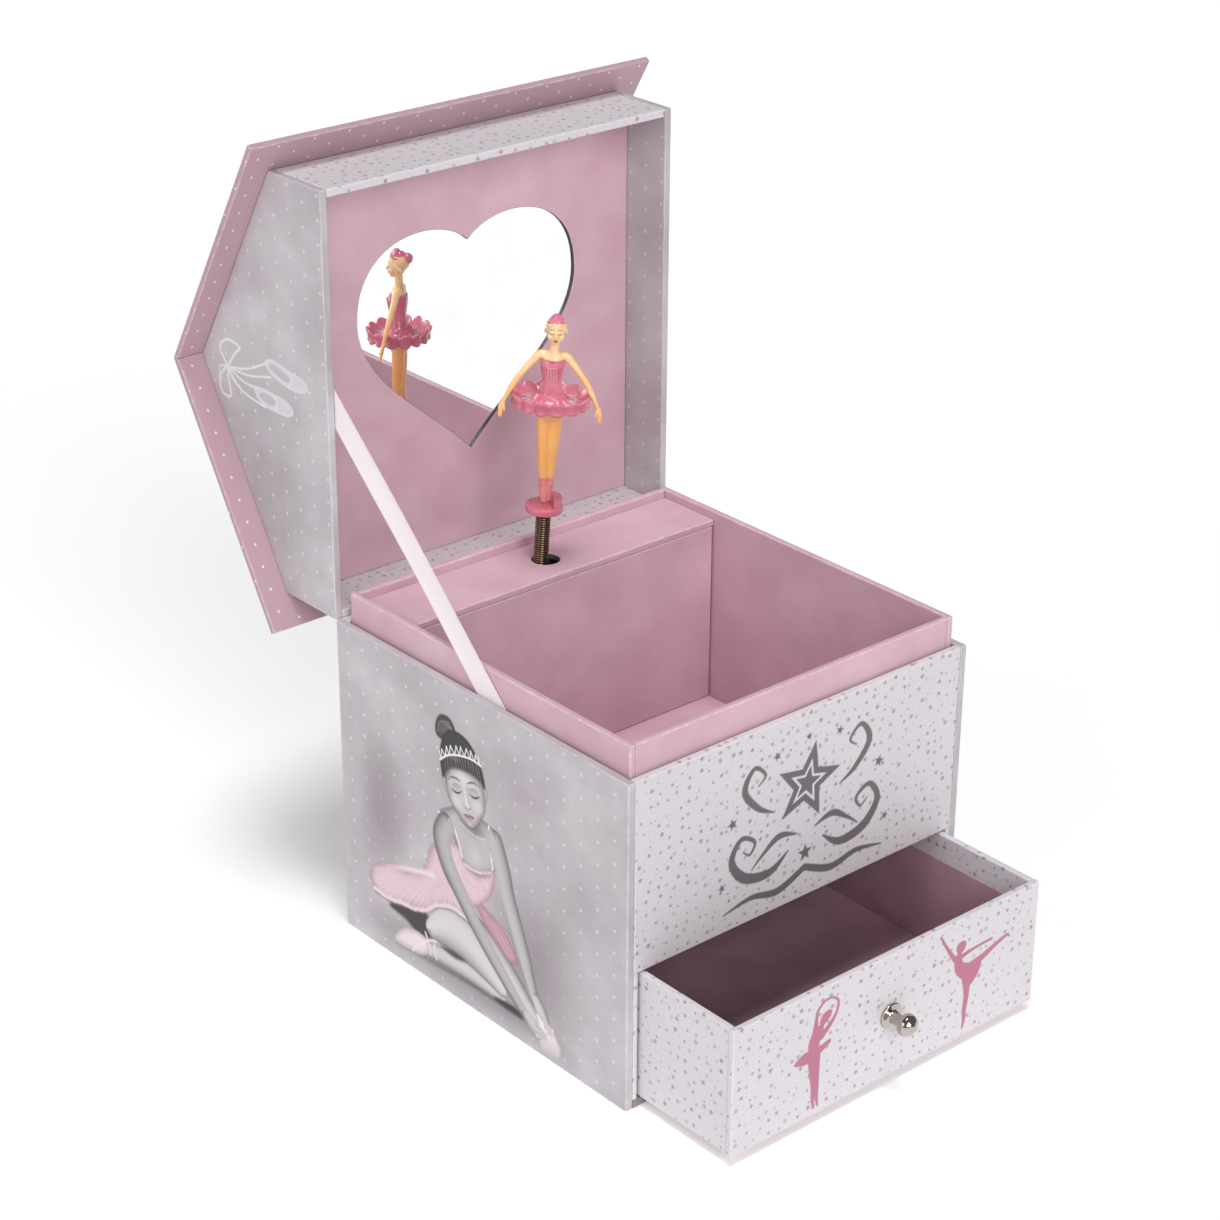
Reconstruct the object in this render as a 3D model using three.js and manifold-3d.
// A musical jewellery box in the shape of a small house: a paper-covered board box with a drawer
// below, a pink lined compartment above, a gabled lid with a heart mirror, and a dancer that turns
// on a coil spring over a wind-up musical movement.
//
// Millimetres, +Z up, +X to the right, +Y to the back. The origin is the centre of the underside.
// The box is built as it stands: lid open at a right angle, drawer part of the way out.

import * as THREE from 'three';
import { mergeVertices } from 'three/addons/utils/BufferGeometryUtils.js';
import Module from 'manifold-3d';

const wasm = await Module();
wasm.setup();

// ---------------------------------------------------------------- driving dimensions

const BOX_WIDTH = 150;
const BOX_DEPTH = 151;
const BOX_HEIGHT = 120;
const BOARD = 2.8; // outer wall board
const BASE_BOARD = 3;
const GLUE = 0.1; // glue line between boards
const PAPER = 0.3; // hinge paper and ribbon

const DRAWER_WIDTH = 139.2;
const DRAWER_BOTTOM = 3.6;
const DRAWER_TOP = 50.4;
const DRAWER_DEPTH = 140;
const DRAWER_WALL = 2.4;
const DRAWER_OUT = 43.5; // how far the drawer stands open
const BAY_SIDE = 1.8; // board beside the drawer
const KNOB_HEIGHT = 27;
const SCREW_SHANK = 2.5;

const LINER_INSET = 3.6; // from the box's outer face to the lining's outer face
const LINER = 2.4;
const LINER_RISE = 10.5; // lining above the rim of the box
const FLOOR_TOP = 56.5;

const COVER_TOP = 127.5; // platform over the movement
const COVER_FRONT = 43;
const COVER_BOARD = 2.4;
const COVER_HOLE = 10;
const COVER_HOLE_OFFSET = [2, -0.4]; // the hole is not quite centred on the spindle

const LID_WALL_HEIGHT = 29;
const LID_APEX = 74;
const ROOF_BOARD = 2.4;
const ROOF_SIDE_OVERHANG = 10;
const ROOF_EAVE_OVERHANG = 12;
const LID_GAP = 0.2; // between the closed lid and the rim
const MIRROR_RECESS = 20;
const MIRROR_BOARD = 1;
const MIRROR_GLASS = 2;

const RIBBON_WIDTH = 10;
const RIBBON_TOP = { y: -80, z: 5 }; // on the gable, from the hinge towards the front, and off the rim
const RIBBON_FOOT = { y: 4, z: -84 }; // in the gap beside the lining

const SPINDLE_X = -0.8;
const SPINDLE_Y = 56.4;
const SPRING_OUTER = 5.3;
const SPRING_WIRE = 0.7;
const SPRING_TURNS = 13;
const STAND_RISE = 18.8; // bottom of the dancer's stand above the platform
const DANCER_HEIGHT = 71.5;
const DANCER_LEAN = new THREE.Vector3(0.046, -0.04, 0.998).normalize();
const DANCER_TURN = THREE.MathUtils.degToRad(-40.5);

const KEY_HEIGHT = 88; // winding arbor above the table
const KEY_HOLE = 8;
const MODULE = 1;
const CROWN_TEETH = 24;
const PINION_TEETH = 8;
const END_WHEEL_TEETH = 36;
const GOVERNOR_TEETH = 9;
const FINE_MODULE = 0.5;

// ---------------------------------------------------------------- places worked out from them

const HALF_WIDTH = BOX_WIDTH / 2;
const HALF_DEPTH = BOX_DEPTH / 2;
const INNER_X = HALF_WIDTH - BOARD;
const INNER_Y = HALF_DEPTH - BOARD;
const LINER_X = HALF_WIDTH - LINER_INSET;
const LINER_Y = HALF_DEPTH - LINER_INSET;
const LINER_IN_X = LINER_X - LINER;
const LINER_IN_Y = LINER_Y - LINER;
const LINER_TOP = BOX_HEIGHT + LINER_RISE;
const SHELF_LOW = DRAWER_TOP + 0.6;
const SHELF_TOP = FLOOR_TOP - LINER - GLUE;
const FRONT_PANEL_LOW = DRAWER_TOP + 0.5;

// ---------------------------------------------------------------- materials

const finish = (color, roughness, metalness = 0) =>
  new THREE.MeshStandardMaterial({ color, roughness, metalness });

const STAR_PAPER = finish(0xe0dde2, 0.55);
const GREY_PAPER = finish(0xb9b6bb, 0.5);
const ROOF_PAPER = finish(0xc8a5b4, 0.5);
const PINK_PAPER = finish(0xd6b2c0, 0.8);
const GREY_BOARD = finish(0x8a8480, 0.9);
const MIRROR = finish(0xe8ecee, 0.05, 1);
const SATIN = finish(0xfcf0f5, 0.4);
const NICKEL = finish(0xd8d8da, 0.15, 1);
const STEEL = finish(0xa8a9ab, 0.35, 1);
const BRASS = finish(0xb79a5a, 0.35, 1);
const SPRING_STEEL = finish(0x504132, 0.35, 1);
const ZINC = finish(0x9a9c9f, 0.5, 1);
const SKIN_PLASTIC = finish(0xf5b96e, 0.35);
const DRESS_PLASTIC = finish(0xc86987, 0.3);
const STAND_PLASTIC = finish(0xd76e87, 0.3);
const FAN_PLASTIC = finish(0xd8d4c8, 0.5);

// ---------------------------------------------------------------- helpers

const root = new THREE.Group();

function addMesh(parent, name, geometry, material) {
  const mesh = new THREE.Mesh(geometry, material);
  mesh.name = name;
  parent.add(mesh);
  return mesh;
}

// A rectangular board between two limits on each axis.
function addBoard(parent, name, [x0, x1], [y0, y1], [z0, z1], material) {
  const mesh = addMesh(parent, name, new THREE.BoxGeometry(x1 - x0, y1 - y0, z1 - z0), material);
  mesh.position.set((x0 + x1) / 2, (y0 + y1) / 2, (z0 + z1) / 2);
  return mesh;
}

function outline(points) {
  return new THREE.Shape(points.map(([x, y]) => new THREE.Vector2(x, y)));
}

function circleHole(x, y, diameter) {
  const path = new THREE.Path();
  path.absarc(x, y, diameter / 2, 0, Math.PI * 2, true);
  return path;
}

function extrude(shape, depth, curveSegments = 8) {
  return new THREE.ExtrudeGeometry(shape, { depth, bevelEnabled: false, curveSegments });
}

// Solids of revolution: [radius, height] pairs from the axis back to the axis, turned about +Z.
function turned(profile, segments = 20) {
  const points = profile.map(([radius, height]) => new THREE.Vector2(radius, height));
  return new THREE.LatheGeometry(points, segments).rotateX(Math.PI / 2);
}

// A cylinder about +Z from z0 to z1, with a bore when bore > 0.
function rod(diameter, z0, z1, bore = 0, segments = 16) {
  const radius = diameter / 2;
  const inner = bore / 2;
  const profile = [[inner, z0], [radius, z0], [radius, z1], [inner, z1]];
  if (bore > 0) profile.push([inner, z0]);
  return turned(profile, segments);
}

function solid(geometry) {
  const bare = geometry.clone();
  bare.deleteAttribute('normal');
  bare.deleteAttribute('uv');
  const welded = mergeVertices(bare, 1e-4);
  return new wasm.Manifold(new wasm.Mesh({
    numProp: 3,
    vertProperties: new Float32Array(welded.attributes.position.array),
    triVerts: new Uint32Array(welded.index.array),
  }));
}

function toGeometry(manifold) {
  const mesh = manifold.getMesh();
  const geometry = new THREE.BufferGeometry();
  geometry.setAttribute('position', new THREE.BufferAttribute(new Float32Array(mesh.vertProperties), 3));
  geometry.setIndex(new THREE.BufferAttribute(new Uint32Array(mesh.triVerts), 1));
  geometry.computeVertexNormals();
  return geometry;
}

function joined(...geometries) {
  return toGeometry(geometries.map(solid).reduce((whole, piece) => whole.add(piece)));
}

function cutFrom(geometry, ...tools) {
  return toGeometry(tools.map(solid).reduce((whole, tool) => whole.subtract(tool), solid(geometry)));
}

// A spur gear about +Z: teeth narrower than their gaps, so that a pair runs free.
function spurGear(teeth, module, width, bore = 0) {
  const pitch = (teeth * module) / 2;
  const tip = pitch + 0.7 * module;
  const foot = pitch - 1.0 * module;
  const points = [];
  for (let i = 0; i < teeth; i += 1) {
    const middle = (i * 2 * Math.PI) / teeth;
    const rootHalf = (0.62 * module) / pitch;
    const tipHalf = (0.3 * module) / pitch;
    for (const [radius, angle] of [[foot, -rootHalf], [tip, -tipHalf], [tip, tipHalf], [foot, rootHalf]]) {
      points.push([radius * Math.cos(middle + angle), radius * Math.sin(middle + angle)]);
    }
  }
  const shape = outline(points);
  if (bore > 0) shape.holes.push(circleHole(0, 0, bore));
  return extrude(shape, width);
}

// ---------------------------------------------------------------- the box

function addShell(parent) {
  const depth = [-HALF_DEPTH, HALF_DEPTH];
  const between = [-INNER_X + GLUE, INNER_X - GLUE];
  const backFace = INNER_Y - GLUE;
  const wallZ = [0, BOX_HEIGHT];
  addBoard(parent, 'base_board', between, [-HALF_DEPTH, backFace], [0, BASE_BOARD], GREY_BOARD);
  addBoard(parent, 'left_wall', [-HALF_WIDTH, -INNER_X], depth, wallZ, GREY_PAPER);
  addBoard(parent, 'right_wall', [INNER_X, HALF_WIDTH], depth, wallZ, GREY_PAPER);
  const panelZ = [FRONT_PANEL_LOW, BOX_HEIGHT];
  addBoard(parent, 'front_panel', between, [-HALF_DEPTH, -INNER_Y], panelZ, STAR_PAPER);

  // The back wall has a round hole for the winding arbor.
  const back = outline([[-INNER_X + GLUE, 0], [INNER_X - GLUE, 0], [INNER_X - GLUE, BOX_HEIGHT],
    [-INNER_X + GLUE, BOX_HEIGHT]]);
  back.holes.push(circleHole(SPINDLE_X, KEY_HEIGHT, KEY_HOLE));
  addUpright(parent, 'back_wall', back, HALF_DEPTH, BOARD, STAR_PAPER);

  const bayX = INNER_X - GLUE - BAY_SIDE;
  const bayZ = [BASE_BOARD + GLUE, SHELF_LOW - GLUE];
  const bayY = [-HALF_DEPTH, backFace];
  addBoard(parent, 'bay_side_left', [-bayX - BAY_SIDE, -bayX], bayY, bayZ, STAR_PAPER);
  addBoard(parent, 'bay_side_right', [bayX, bayX + BAY_SIDE], bayY, bayZ, STAR_PAPER);
  addBoard(parent, 'shelf_board', between, [-INNER_Y + GLUE, backFace], [SHELF_LOW, SHELF_TOP], GREY_BOARD);
  addBoard(parent, 'hinge_strip_base', [-HALF_WIDTH + 1, HALF_WIDTH - 1],
    [HALF_DEPTH + 0.05, HALF_DEPTH + 0.05 + PAPER], [BOX_HEIGHT - 14, BOX_HEIGHT - 0.7], STAR_PAPER);
}

// A plate that stands in the XZ plane, its outline in x and z, from its back face forwards.
function addUpright(parent, name, shape, backFace, thickness, material) {
  const mesh = addMesh(parent, name, extrude(shape, thickness).rotateX(Math.PI / 2), material);
  mesh.position.y = backFace;
  return mesh;
}

function addLining(parent) {
  const wallZ = [SHELF_TOP + GLUE, LINER_TOP];
  const between = [-LINER_IN_X + GLUE, LINER_IN_X - GLUE];
  addBoard(parent, 'liner_left', [-LINER_X, -LINER_IN_X], [-LINER_Y, LINER_Y], wallZ, PINK_PAPER);
  addBoard(parent, 'liner_right', [LINER_IN_X, LINER_X], [-LINER_Y, LINER_Y], wallZ, PINK_PAPER);
  addBoard(parent, 'liner_front', between, [-LINER_Y, -LINER_IN_Y], wallZ, PINK_PAPER);
  addBoard(parent, 'liner_floor', between, [-LINER_IN_Y + GLUE, LINER_IN_Y - GLUE],
    [SHELF_TOP + GLUE, FLOOR_TOP], PINK_PAPER);

  const back = outline([[between[0], wallZ[0]], [between[1], wallZ[0]], [between[1], LINER_TOP],
    [between[0], LINER_TOP]]);
  back.holes.push(circleHole(SPINDLE_X, KEY_HEIGHT, KEY_HOLE));
  for (const x of PLATE_SCREW_X) back.holes.push(circleHole(x, PLATE_SCREW_Z, SCREW_HOLE));
  addUpright(parent, 'liner_back', back, LINER_Y, LINER, PINK_PAPER);

  // The cover over the movement: a platform with the spindle's hole, and its front wall.
  const rear = LINER_IN_Y - GLUE;
  const top = outline([[between[0], COVER_FRONT], [between[1], COVER_FRONT], [between[1], rear],
    [between[0], rear]]);
  top.holes.push(circleHole(SPINDLE_X + COVER_HOLE_OFFSET[0], SPINDLE_Y + COVER_HOLE_OFFSET[1], COVER_HOLE));
  const platform = addMesh(parent, 'movement_cover_top', extrude(top, COVER_BOARD), PINK_PAPER);
  platform.position.z = COVER_TOP - COVER_BOARD;
  addBoard(parent, 'movement_cover_front', [between[0], between[1] - 0.6],
    [COVER_FRONT, COVER_FRONT + COVER_BOARD], [FLOOR_TOP + GLUE, COVER_TOP - COVER_BOARD - GLUE], PINK_PAPER);
}

// ---------------------------------------------------------------- the drawer

function addDrawer(parent) {
  const drawer = new THREE.Group();
  drawer.position.y = -DRAWER_OUT;
  parent.add(drawer);
  const half = DRAWER_WIDTH / 2;
  const sideOut = half - 0.3;
  const sideIn = sideOut - DRAWER_WALL;
  const frontBack = -HALF_DEPTH + DRAWER_WALL;
  const rear = -HALF_DEPTH + DRAWER_DEPTH;
  const wallZ = [DRAWER_BOTTOM, DRAWER_TOP];
  const sideY = [frontBack + GLUE, rear - DRAWER_WALL - GLUE];

  const front = outline([[-half, wallZ[0]], [half, wallZ[0]], [half, wallZ[1]], [-half, wallZ[1]]]);
  front.holes.push(circleHole(0, KNOB_HEIGHT, SCREW_SHANK + 0.6));
  addUpright(drawer, 'drawer_front', front, frontBack, DRAWER_WALL, STAR_PAPER);
  addBoard(drawer, 'drawer_left_side', [-sideOut, -sideIn], sideY, wallZ, STAR_PAPER);
  addBoard(drawer, 'drawer_right_side', [sideIn, sideOut], sideY, wallZ, STAR_PAPER);
  addBoard(drawer, 'drawer_back', [-sideOut, sideOut], [rear - DRAWER_WALL, rear], wallZ, STAR_PAPER);
  addBoard(drawer, 'drawer_floor', [-sideIn + GLUE, sideIn - GLUE], sideY,
    [DRAWER_BOTTOM, DRAWER_BOTTOM + DRAWER_WALL], PINK_PAPER);

  // The knob is turned about an axis that points out of the front; its screw comes from inside.
  const knobProfile = [
    [0, 4], [SCREW_SHANK / 2 + 0.15, 4], [SCREW_SHANK / 2 + 0.15, 0], [4.6, 0], [4.65, 0.5], [4.1, 1.1],
    [2.6, 1.6], [2.1, 2.6], [2.0, 4.2], [2.5, 5.4], [3.6, 6.2], [3.85, 7.2], [3.7, 8.6], [3.0, 10.0],
    [1.7, 10.8], [0, 11],
  ];
  const knob = addMesh(drawer, 'drawer_knob', turned(knobProfile).rotateX(Math.PI / 2), NICKEL);
  knob.position.set(0, -HALF_DEPTH - 0.05, KNOB_HEIGHT);

  const washerRing = rod(8, 0, 0.6, SCREW_SHANK + 0.4).rotateX(-Math.PI / 2);
  const washer = addMesh(drawer, 'knob_washer', washerRing, STEEL);
  washer.position.set(0, frontBack + 0.05, KNOB_HEIGHT);
  const headSeat = -0.1;
  const shankEnd = -DRAWER_WALL - 0.75 - 3.5;
  const screwProfile = [[0, shankEnd], [SCREW_SHANK / 2, shankEnd], [SCREW_SHANK / 2, headSeat],
    [2.8, headSeat], [2.6, 1.2], [1.4, 2.0], [0, 2.1]];
  const screw = addMesh(drawer, 'knob_screw', turned(screwProfile, 16).rotateX(-Math.PI / 2), STEEL);
  screw.position.set(0, frontBack + 0.9, KNOB_HEIGHT);
}

// ---------------------------------------------------------------- the lid

// Built as it lies when closed: local y runs from the hinge to the front as negative values, and
// local z runs up from the rim. The group is turned back about the hinge to stand open.
function addLid(parent) {
  const lid = new THREE.Group();
  lid.position.set(0, HALF_DEPTH, BOX_HEIGHT);
  lid.rotation.x = -Math.PI / 2;
  parent.add(lid);

  const slope = Math.atan2(LID_APEX - LID_WALL_HEIGHT, HALF_DEPTH);
  const drop = GLUE / Math.cos(slope);
  const between = [-INNER_X + GLUE, INNER_X - GLUE];
  const wallZ = [LID_GAP, LID_WALL_HEIGHT - drop];
  addBoard(lid, 'lid_front_wall', between, [-BOX_DEPTH, -BOX_DEPTH + BOARD], wallZ, STAR_PAPER);
  addBoard(lid, 'lid_rear_wall', between, [-BOARD, 0], wallZ, STAR_PAPER);

  const gable = outline([[-BOX_DEPTH, LID_GAP], [0, LID_GAP], [0, LID_WALL_HEIGHT - drop],
    [-HALF_DEPTH, LID_APEX - drop], [-BOX_DEPTH, LID_WALL_HEIGHT - drop]]);
  addSidePlate(lid, 'lid_left_gable', gable, -HALF_WIDTH, BOARD, GREY_PAPER);
  addSidePlate(lid, 'lid_right_gable', gable, INNER_X, BOARD, GREY_PAPER);

  // Each roof board is a strip along the slope, cut upright where the two meet at the ridge.
  const eaveY = BOX_DEPTH / 2 + ROOF_EAVE_OVERHANG * Math.cos(slope);
  const eaveZ = LID_WALL_HEIGHT - ROOF_EAVE_OVERHANG * Math.sin(slope);
  const ridgeTop = LID_APEX + ROOF_BOARD / Math.cos(slope);
  const roofWidth = BOX_WIDTH + 2 * ROOF_SIDE_OVERHANG;
  for (const [name, side] of [['roof_front_slope', -1], ['roof_rear_slope', 1]]) {
    const along = (distance) => -HALF_DEPTH + side * distance;
    const fold = GLUE / 2;
    const section = outline([
      [along(fold), LID_APEX - fold * Math.tan(slope)],
      [along(eaveY), eaveZ],
      [along(eaveY + ROOF_BOARD * Math.sin(slope)), eaveZ + ROOF_BOARD * Math.cos(slope)],
      [along(fold), ridgeTop - fold * Math.tan(slope)],
    ]);
    addSidePlate(lid, name, section, -roofWidth / 2, roofWidth, ROOF_PAPER);
  }

  addMirror(lid);
  const clothX = [-HALF_WIDTH + 1, HALF_WIDTH - 1];
  addBoard(lid, 'hinge_strip_lid', clothX, [0.05, 0.05 + PAPER], [0.4, 14], STAR_PAPER);
  addRibbon(lid);
}

// A plate with its outline in y and z, from x0 towards +X.
function addSidePlate(parent, name, shape, x0, thickness, material) {
  const geometry = extrude(shape, thickness).rotateX(Math.PI / 2).rotateZ(Math.PI / 2);
  const mesh = addMesh(parent, name, geometry, material);
  mesh.position.x = x0;
  return mesh;
}

const HEART = {
  notch: 114.2, tip: 37, widest: 94, halfWidth: 47.7, lobeInner: [12, 126], lobeOuter: 124.5,
  sideLower: 72, tipUpper: [18, 56],
};

// The heart's outline, with its tip towards the hinge.
function heartPath(PathClass) {
  const path = new PathClass();
  const { notch, tip, widest, halfWidth, lobeInner, lobeOuter, sideLower, tipUpper } = HEART;
  path.moveTo(0, -notch);
  path.bezierCurveTo(lobeInner[0], -lobeInner[1], halfWidth, -lobeOuter, halfWidth, -widest);
  path.bezierCurveTo(halfWidth, -sideLower, tipUpper[0], -tipUpper[1], 0, -tip);
  path.bezierCurveTo(-tipUpper[0], -tipUpper[1], -halfWidth, -sideLower, -halfWidth, -widest);
  path.bezierCurveTo(-halfWidth, -lobeOuter, -lobeInner[0], -lobeInner[1], 0, -notch);
  return path;
}

function addMirror(lid) {
  const reach = INNER_X - 2 * GLUE;
  const front = -BOX_DEPTH + BOARD + GLUE;
  const board = outline([[-reach, front], [reach, front], [reach, -BOARD - GLUE], [-reach, -BOARD - GLUE]]);
  board.holes.push(heartPath(THREE.Path));
  const panel = addMesh(lid, 'mirror_panel', extrude(board, MIRROR_BOARD, 10), PINK_PAPER);
  panel.position.z = MIRROR_RECESS;
  const glassZ = MIRROR_RECESS + MIRROR_BOARD + GLUE;
  addBoard(lid, 'heart_mirror', [-52, 52], [-127, -32], [glassZ, glassZ + MIRROR_GLASS], MIRROR);
  const cardZ = glassZ + MIRROR_GLASS + GLUE;
  addBoard(lid, 'mirror_backing', [-58, 58], [-134, -24], [cardZ, cardZ + 1.5], GREY_BOARD);
}

// The stay ribbon hangs beside the lining: down from the gable, and into the gap beside the lining.
function addRibbon(lid) {
  const half = RIBBON_WIDTH / 2;
  const top = RIBBON_TOP;
  const foot = RIBBON_FOOT;
  const length = Math.hypot(top.y - foot.y, top.z - foot.z);
  const across = { y: -(foot.z - top.z) / length, z: (foot.y - top.y) / length };
  const shape = outline([
    [top.y + half * across.y, top.z + half * across.z],
    [top.y - half * across.y, top.z - half * across.z],
    [foot.y - half * across.y, foot.z - half * across.z],
    [foot.y + half * across.y, foot.z + half * across.z],
  ]);
  addSidePlate(lid, 'lid_ribbon', shape, -LINER_X - 0.6, PAPER, SATIN);
}

// ---------------------------------------------------------------- the musical movement

const CROWN_FACE = 3.4; // from the spindle's axis back to the tips of the crown wheel's teeth
const CROWN_RADIUS = (MODULE * CROWN_TEETH) / 2;
const CROWN_TOOTH = 1.6;
const PLATE_FRONT = 67.5;
const PLATE_BACK = 69.3;
const HOUSING_DEPTH = 3;
const PLATE_SCREW_X = [-56, 15];
const PLATE_SCREW_Z = 110;
const PINION_X = SPINDLE_X - CROWN_RADIUS - 1.2;
const CYLINDER_X = [-52, -20];
const BEDPLATE = { left: -62, right: 20, low: 66, high: 116 };
const POST_X = [[-60.5, -58], [-19, -17]]; // the two posts that carry the cylinder
const POST_FRONT = SPINDLE_Y - 4.4;
const POST_HEIGHT = 8;
const ARBOR = 5;
const SCREW_HOLE = 3.2;
const KEY_HUB = [21.3, 29.2]; // from the spindle's axis back
const KEY_SPAN = 23;
const KEY_PLATE = 1.6;
const CYLINDER_RADIUS = 6;
const PIN_RISE = 0.6;
const COMB_GAP = 0.5;
const COMB_TEETH = 18;
const COMB_PITCH = 1.5;
const CYLINDER_PINS = 36;

function addMovement(parent) {
  const spindleAxis = [SPINDLE_X, SPINDLE_Y];
  const arborX = SPINDLE_X;

  // Bedplate: a cast plate with a bored boss for the arbor and two posts for the cylinder.
  const { left, right, low, high } = BEDPLATE;
  const plate = outline([[left, low], [right, low], [right, high], [left, high]]);
  plate.holes.push(circleHole(arborX, KEY_HEIGHT, ARBOR + 0.2));
  for (const x of PLATE_SCREW_X) plate.holes.push(circleHole(x, PLATE_SCREW_Z, SCREW_HOLE));
  const plateSolid = extrude(plate, PLATE_BACK - PLATE_FRONT).rotateX(Math.PI / 2);
  plateSolid.translate(0, PLATE_BACK, 0);
  const postRear = PLATE_BACK - 1;
  const posts = POST_X.map(([x0, x1]) => {
    const block = new THREE.BoxGeometry(x1 - x0, postRear - POST_FRONT, POST_HEIGHT);
    block.translate((x0 + x1) / 2, (postRear + POST_FRONT) / 2, KEY_HEIGHT);
    const bore = rod(2.4, 0, 10).rotateY(Math.PI / 2).translate(x0 - 3, SPINDLE_Y, KEY_HEIGHT);
    return cutFrom(block, bore);
  });
  const bed = joined(plateSolid, ...posts);
  addMesh(parent, 'movement_bedplate', bed, ZINC);

  // Two screws hold the bedplate to the back of the lining.
  const screwNames = ['movement_screw_left', 'movement_screw_right'];
  screwNames.forEach((name, i) => {
    const screw = turned([[0, -3.8], [1.4, -3.8], [1.4, 0], [2.7, 0], [2.5, 1.2], [0, 1.6]], 12);
    const mesh = addMesh(parent, name, screw.rotateX(Math.PI / 2), STEEL);
    mesh.position.set(PLATE_SCREW_X[i], PLATE_FRONT - GLUE, PLATE_SCREW_Z);
  });

  // The fixed spring housing stands behind the crown wheel.
  const housing = turned([[11.6, 0], [12.6, 0], [12.6, HOUSING_DEPTH], [11.6, HOUSING_DEPTH], [11.6, 0]], 28);
  const cup = addMesh(parent, 'spring_housing', housing.rotateX(Math.PI / 2), ZINC);
  cup.position.set(arborX, PLATE_FRONT - GLUE, KEY_HEIGHT);

  addComb(parent);
  addSpindle(parent, spindleAxis);
  addWinding(parent, arborX);
  addCylinder(parent);
  addGovernor(parent);
}

function addComb(parent) {
  const reach = CYLINDER_RADIUS + PIN_RISE + COMB_GAP;
  const tipZ = KEY_HEIGHT - reach;
  const x0 = CYLINDER_X[0] + 3;
  const rootZ = KEY_HEIGHT - 19;
  const lowZ = rootZ - 8;
  const points = [[x0, lowZ], [x0 + COMB_PITCH * COMB_TEETH, lowZ]];
  for (let i = COMB_TEETH - 1; i >= 0; i -= 1) {
    const right = x0 + COMB_PITCH * (i + 1);
    const left = right - COMB_PITCH;
    points.push([right, rootZ], [right - 0.3, rootZ], [right - 0.4, tipZ]);
    points.push([left + 0.2, tipZ], [left + 0.1, rootZ]);
  }
  points.push([x0, rootZ]);
  addUpright(parent, 'music_comb', outline(points), SPINDLE_Y + 0.4, 0.8, STEEL);

  // A lead-coloured block carries the comb out from the bedplate.
  const blockX = [x0 + 0.5, x0 + COMB_PITCH * COMB_TEETH - 0.5];
  const blockY = [SPINDLE_Y + 0.5, PLATE_FRONT - GLUE];
  addBoard(parent, 'comb_block', blockX, blockY, [BEDPLATE.low + 0.5, lowZ + 7], ZINC);
}

function addSpindle(parent, [x, y]) {
  const pinionZ = KEY_HEIGHT + CROWN_RADIUS - 1.2;
  const spindle = addMesh(parent, 'spindle_shaft', rod(2.4, pinionZ - 2.5, 124.8), STEEL);
  spindle.position.set(x, y, 0);
  const pinion = addMesh(parent, 'spindle_pinion', spurGear(PINION_TEETH, MODULE, 2.4, 2.5), BRASS);
  pinion.position.set(x, y, pinionZ);

  // A bracket from the bedplate holds the spindle's bush.
  const arm = new THREE.BoxGeometry(9, PLATE_FRONT - GLUE - y + 4.5, 4);
  arm.translate(x, (PLATE_FRONT - GLUE + y - 4.5) / 2, 111);
  addMesh(parent, 'spindle_bracket', cutFrom(arm, rod(2.6, 100, 120).translate(x, y, 0)), ZINC);
}

function addWinding(parent, x) {
  const group = new THREE.Group();
  group.position.set(x, SPINDLE_Y, KEY_HEIGHT);
  group.rotation.x = -Math.PI / 2; // local +Z points to the back of the box
  parent.add(group);

  const discBack = CROWN_FACE + CROWN_TOOTH + 1.2;
  addMesh(group, 'winding_arbor', rod(ARBOR, CROWN_FACE - 0.5, KEY_HUB[1] - 1.7), STEEL);

  // Crown wheel: a disc with a ring of teeth on its front face.
  const disc = rod(2 * CROWN_RADIUS + 3, CROWN_FACE + CROWN_TOOTH, discBack, ARBOR + 0.1, 36);
  const pieces = [disc];
  for (let i = 0; i < CROWN_TEETH; i += 1) {
    const tooth = new THREE.CylinderGeometry(0.35, 0.62, CROWN_TOOTH + 0.3, 4, 1).rotateY(Math.PI / 4);
    tooth.scale(2, 1, 1);
    tooth.rotateX(-Math.PI / 2).translate(CROWN_RADIUS, 0, CROWN_FACE + (CROWN_TOOTH + 0.3) / 2);
    pieces.push(tooth.rotateZ(((i + 0.5) * 2 * Math.PI) / CROWN_TEETH));
  }
  addMesh(group, 'crown_wheel', joined(...pieces), BRASS);

  // The mainspring, hooked to the arbor, lies coiled in the housing.
  const coil = extrude(spiral(2.9, 11, 6, 0.45), HOUSING_DEPTH - 0.8, 4);
  addMesh(group, 'mainspring', coil.translate(0, 0, discBack + 0.5), SPRING_STEEL);

  // Key: a hub with two wings.
  const [hubFront, hubBack] = KEY_HUB;
  const hub = cutFrom(rod(7, hubFront, hubBack), rod(ARBOR + 0.2, hubFront - 1, hubBack - 1.6));
  const wings = new THREE.Shape();
  const span = KEY_SPAN / 2;
  wings.moveTo(-2.6, 0);
  wings.bezierCurveTo(-6, 0, -span, 1, -span, 5);
  wings.bezierCurveTo(-span, 9, -5, 9.5, 0, 5.5);
  wings.bezierCurveTo(5, 9.5, span, 9, span, 5);
  wings.bezierCurveTo(span, 1, 6, 0, 2.6, 0);
  const wingPlate = extrude(wings, KEY_PLATE, 6).rotateX(Math.PI / 2);
  wingPlate.translate(0, KEY_PLATE / 2, hubBack - 1.5);
  addMesh(group, 'winding_key', joined(hub, wingPlate), NICKEL);
}

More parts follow.
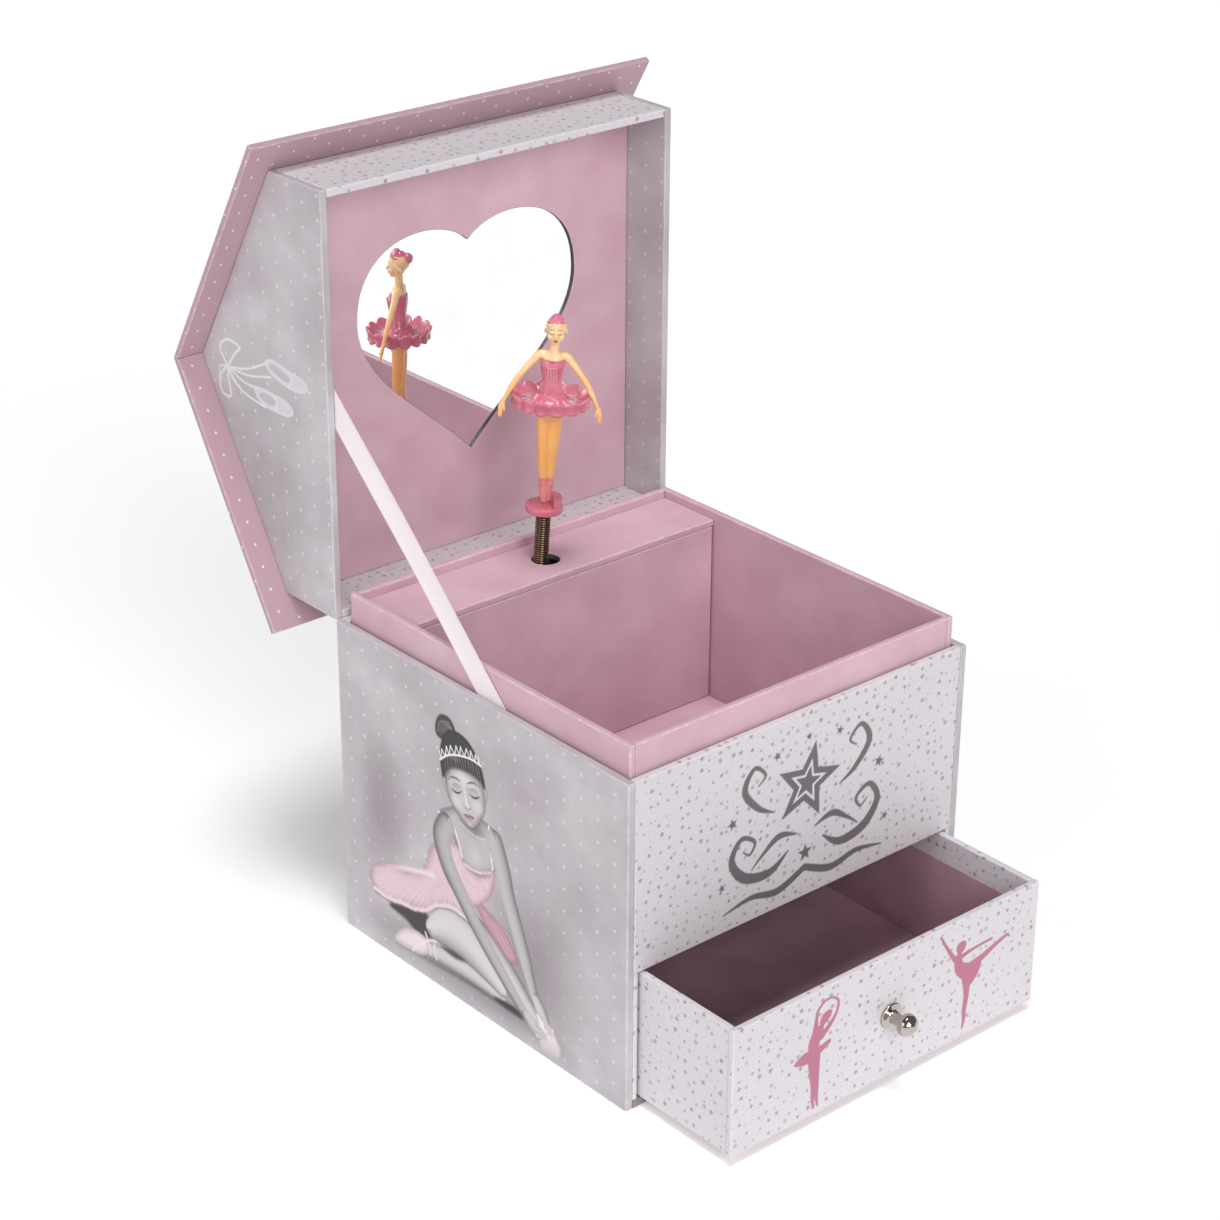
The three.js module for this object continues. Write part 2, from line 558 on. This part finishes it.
// A flat strip wound outwards from r0 to r1.
function spiral(r0, r1, turns, thickness) {
  const steps = turns * 16;
  const outer = [];
  const inner = [];
  for (let i = 0; i <= steps; i += 1) {
    const angle = (i * 2 * Math.PI) / 16;
    const radius = r0 + ((r1 - r0) * i) / steps;
    outer.push([(radius + thickness / 2) * Math.cos(angle), (radius + thickness / 2) * Math.sin(angle)]);
    inner.unshift([(radius - thickness / 2) * Math.cos(angle), (radius - thickness / 2) * Math.sin(angle)]);
  }
  return outline([...outer, ...inner]);
}

function addCylinder(parent) {
  const group = new THREE.Group();
  group.position.set(0, SPINDLE_Y, KEY_HEIGHT);
  group.rotation.y = Math.PI / 2; // local +Z points along +X
  parent.add(group);
  const [left, right] = CYLINDER_X;
  const barrel = turned([
    [0, left - 8.7], [1.1, left - 8.7], [1.1, left - 3], [3, left - 3], [3, left], [CYLINDER_RADIUS, left],
    [CYLINDER_RADIUS, right], [1.1, right], [1.1, PINION_X + 3.5], [0, PINION_X + 3.5],
  ], 24);
  const pins = [barrel];
  for (let i = 0; i < CYLINDER_PINS; i += 1) {
    const pin = new THREE.BoxGeometry(PIN_RISE + 0.5, 0.5, 0.5);
    pin.translate(CYLINDER_RADIUS + PIN_RISE / 2 - 0.25, 0, left + 3.6 + COMB_PITCH * ((i * 7) % COMB_TEETH));
    pins.push(pin.rotateZ((i * 2 * Math.PI) / CYLINDER_PINS));
  }
  addMesh(group, 'pin_cylinder', joined(...pins), BRASS);
  const pinion = addMesh(group, 'cylinder_pinion', spurGear(PINION_TEETH, MODULE, 2.4, 2.3), BRASS);
  pinion.position.z = PINION_X;
  const wheel = addMesh(group, 'cylinder_wheel', spurGear(END_WHEEL_TEETH, FINE_MODULE, 1.5, 6.1), BRASS);
  wheel.position.z = left - 2.6;
}

function addGovernor(parent) {
  const distance = ((END_WHEEL_TEETH + GOVERNOR_TEETH) * FINE_MODULE) / 2 + 0.05;
  const z = KEY_HEIGHT + distance;
  const wheelX = CYLINDER_X[0] - 2.6;
  const group = new THREE.Group();
  group.position.set(0, SPINDLE_Y, z);
  group.rotation.y = Math.PI / 2;
  parent.add(group);
  const pinion = spurGear(GOVERNOR_TEETH, FINE_MODULE, 1.5).rotateZ(Math.PI / GOVERNOR_TEETH);
  const shaft = joined(pinion.translate(0, 0, wheelX), rod(1.6, wheelX - 6.5, wheelX + 22, 0, 10));
  addMesh(group, 'governor_shaft', shaft, STEEL);
  const blade = new THREE.BoxGeometry(9, 0.8, 8).translate(0, 0, wheelX + 10);
  const fan = cutFrom(joined(blade, rod(3.4, wheelX + 6, wheelX + 14, 0, 12)),
    rod(1.7, wheelX, wheelX + 20, 0, 10));
  addMesh(group, 'governor_fan', fan, FAN_PLASTIC);

  // One bracket holds both ends of the governor.
  const back = new THREE.BoxGeometry(30, 3, 3).translate(wheelX + 7, PLATE_FRONT - GLUE - 1.5, z);
  const armDepth = PLATE_FRONT - GLUE - SPINDLE_Y + 3;
  const armY = PLATE_FRONT - GLUE - armDepth / 2;
  const arm = (x) => new THREE.BoxGeometry(1.6, armDepth, 4).translate(x, armY, z);
  const bore = rod(1.9, 0, 60, 0, 12).rotateY(Math.PI / 2).translate(wheelX - 20, SPINDLE_Y, z);
  addMesh(parent, 'governor_bracket', cutFrom(joined(back, arm(wheelX - 5), arm(wheelX + 19)), bore), ZINC);
}

// ---------------------------------------------------------------- spring and dancer

function addDancer(parent) {
  const stage = new THREE.Group();
  stage.position.set(SPINDLE_X, SPINDLE_Y, COVER_TOP);
  stage.quaternion.setFromUnitVectors(new THREE.Vector3(0, 0, 1), DANCER_LEAN);
  parent.add(stage);

  // The spring, from the spindle up into the stand.
  const helix = new THREE.CatmullRomCurve3(helixPoints(-2.2, STAND_RISE - 0.4), false);
  const wire = new THREE.Shape();
  wire.absarc(0, 0, SPRING_WIRE / 2, 0, Math.PI * 2, false);
  addMesh(stage, 'coil_spring', new THREE.ExtrudeGeometry(wire, {
    steps: SPRING_TURNS * 10, curveSegments: 3, bevelEnabled: false, extrudePath: helix,
  }), SPRING_STEEL);
  addMesh(stage, 'spring_plug', rod(3.2, STAND_RISE - 0.8, STAND_RISE + 2.5, 0, 14), SPRING_STEEL);

  const dancer = new THREE.Group();
  dancer.position.z = STAND_RISE;
  dancer.rotation.z = DANCER_TURN;
  stage.add(dancer);
  addStand(dancer);
  addFigure(dancer);
}

function helixPoints(z0, z1) {
  const radius = (SPRING_OUTER - SPRING_WIRE) / 2;
  const steps = SPRING_TURNS * 10;
  const points = [];
  for (let i = 0; i <= steps; i += 1) {
    const angle = (i * 2 * Math.PI) / 10;
    const z = z0 + ((z1 - z0) * i) / steps;
    points.push(new THREE.Vector3(radius * Math.cos(angle), radius * Math.sin(angle), z));
  }
  return points;
}

const STAND_RADIUS = 6.5;
const STAND_DISC = 2.6;
const STAND_HEIGHT = 4.5;

// A round disc with a raised half-moon behind the feet, and a socket for the spring's plug.
function addStand(dancer) {
  const disc = rod(2 * STAND_RADIUS, 0, STAND_DISC, 0, 28);
  const moon = new THREE.Shape();
  moon.absarc(0, 0, STAND_RADIUS - 0.6, 0, Math.PI, false);
  const step = extrude(moon, STAND_HEIGHT - 1, 10).translate(0, 0.6, 1);
  const stand = cutFrom(joined(disc, step), rod(3.5, -1, 2.9, 0, 16));
  addMesh(dancer, 'dancer_stand', stand, STAND_PLASTIC);
}

function limb(from, to, r0, r1, sides = 8) {
  const a = new THREE.Vector3(...from);
  const b = new THREE.Vector3(...to);
  const geometry = new THREE.CylinderGeometry(r1, r0, a.distanceTo(b), sides, 1);
  geometry.applyQuaternion(new THREE.Quaternion().setFromUnitVectors(
    new THREE.Vector3(0, 1, 0), b.clone().sub(a).normalize()));
  return geometry.translate((a.x + b.x) / 2, (a.y + b.y) / 2, (a.z + b.z) / 2);
}

const HIP_HEIGHT = 36.5;
const SHOULDER_HEIGHT = 56.5;
const TUTU_RADIUS = 13.2;
const TUTU_RUFFLE = 0.6;
const TUTU_LOBES = 16;
const TUTU_ROUNDNESS = 0.82;
const TUTU_LOW = 38.8;
const TUTU_HEIGHT = 4.2;

// One moulded figure, facing local -Y: crossed feet, legs, torso, arms held low, head and bun.
function addFigure(dancer) {
  const ground = STAND_HEIGHT + 0.3;
  const hip = HIP_HEIGHT;
  const shoulder = SHOULDER_HEIGHT;
  const legs = [
    limb([1.1, 0.2, ground], [2.0, 0, hip], 1.4, 2.4), limb([-0.8, -1.2, ground], [-2.0, 0, hip], 1.4, 2.4),
    limb([1.1, 0.4, ground + 0.4], [2.6, -2.6, ground + 0.6], 1.3, 0.8),
    limb([-0.8, -1.0, ground + 0.4], [-2.4, -3.4, ground + 0.6], 1.3, 0.8),
  ];
  const torso = turned([
    [0, 34.5], [3.2, 35], [4.6, 38], [4.6, 41], [4.5, 43.4], [3.6, 48], [4.0, 52], [4.4, 55],
    [2.6, shoulder + 1], [1.5, 58], [1.5, 60.2], [3.0, 61.6], [3.9, 64.4], [3.9, 67.5], [2.8, 70.2],
    [0, DANCER_HEIGHT],
  ], 16).scale(1, 0.78, 1);
  const arms = [];
  for (const side of [-1, 1]) {
    arms.push(limb([side * 3.8, 0, shoulder + 0.4], [side * 11, -0.8, 50.4], 1.6, 1.2));
    arms.push(limb([side * 10.7, -0.8, 51], [side * 16.4, -2, 41.6], 1.25, 0.85));
    arms.push(limb([side * 16.2, -2, 42.2], [side * 18, -2.6, 36.8], 1.0, 0.6));
  }
  const bun = new THREE.SphereGeometry(2.3, 10, 8).translate(0, 3.2, 69);
  addMesh(dancer, 'dancer_figure', joined(...legs, torso, ...arms, bun), SKIN_PLASTIC);

  // The tutu: a shallow frilled dish, wider than it is deep, with a hole for the hips.
  const rim = [];
  const samples = TUTU_LOBES * 4;
  for (let i = 0; i < samples; i += 1) {
    const angle = (i * 2 * Math.PI) / samples;
    const radius = TUTU_RADIUS + TUTU_RUFFLE * Math.cos(TUTU_LOBES * angle);
    rim.push([radius * Math.cos(angle), TUTU_ROUNDNESS * radius * Math.sin(angle)]);
  }
  const skirt = outline(rim);
  const waist = new THREE.Path();
  waist.absellipse(0, 0, 5.1, 4.2, 0, Math.PI * 2, true, 0);
  skirt.holes.push(waist);
  addMesh(dancer, 'dancer_tutu', extrude(skirt, TUTU_HEIGHT, 8).translate(0, 0, TUTU_LOW), DRESS_PLASTIC);
}

// ---------------------------------------------------------------- assembly

addShell(root);
addLining(root);
addDrawer(root);
addLid(root);
addMovement(root);
addDancer(root);

export default root;
